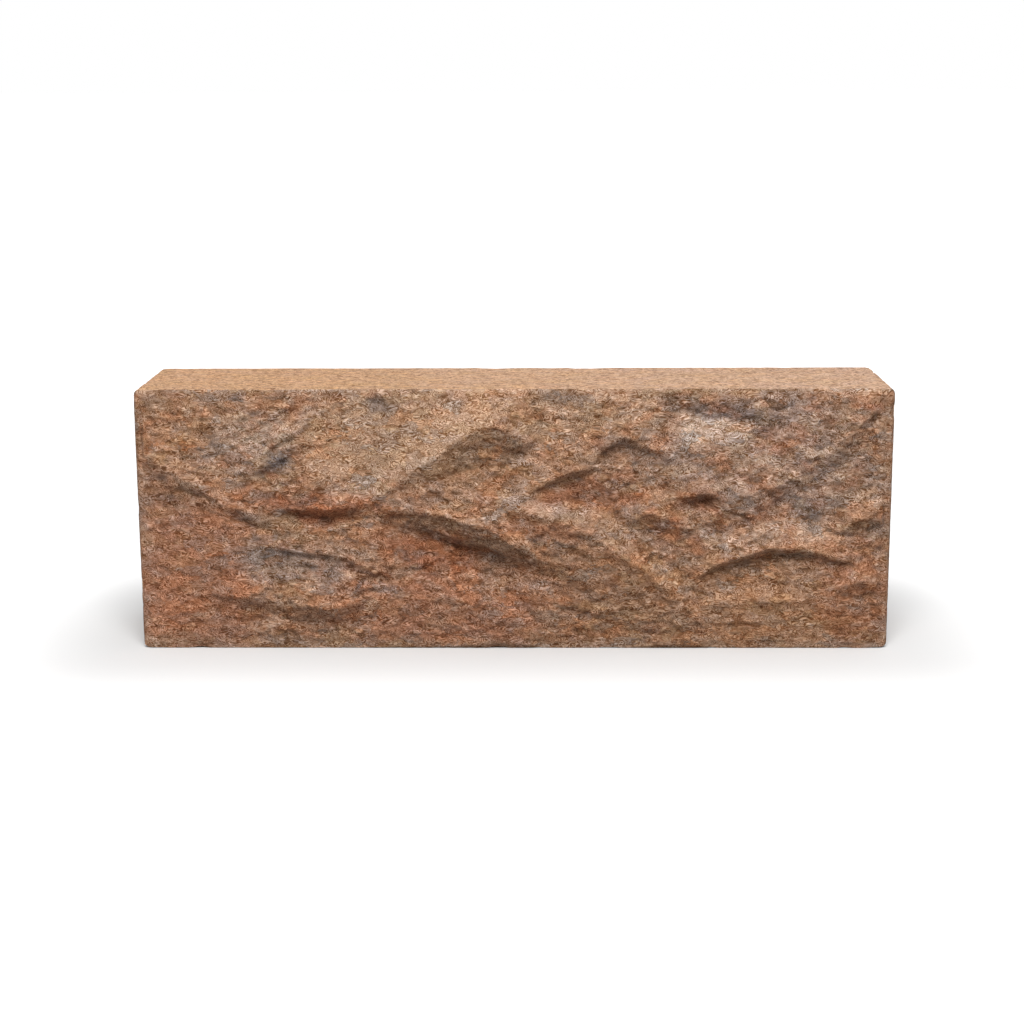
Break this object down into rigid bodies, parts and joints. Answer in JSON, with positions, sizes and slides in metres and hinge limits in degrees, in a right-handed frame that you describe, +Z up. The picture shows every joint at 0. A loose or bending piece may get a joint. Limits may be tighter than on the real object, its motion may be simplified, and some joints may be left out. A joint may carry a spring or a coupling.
{
  "type": "rock-face brick",
  "caption": "Narrow facing brick with plain beds, ends and back, and one long face broken into ledges like split stone, for cladding a wall.",
  "frame": {"origin": "middle of the brick's outline on the floor, under its lower bed", "axes": "+X along the length, +Z up from the lower bed, and the rock face looks along -Y"},
  "size_m": [0.25, 0.06, 0.088],
  "materials": {
    "fired_clay": "matte"
  },
  "bodies": {
    "root": {"brick": "fired_clay"}
  },
  "joints": []
}
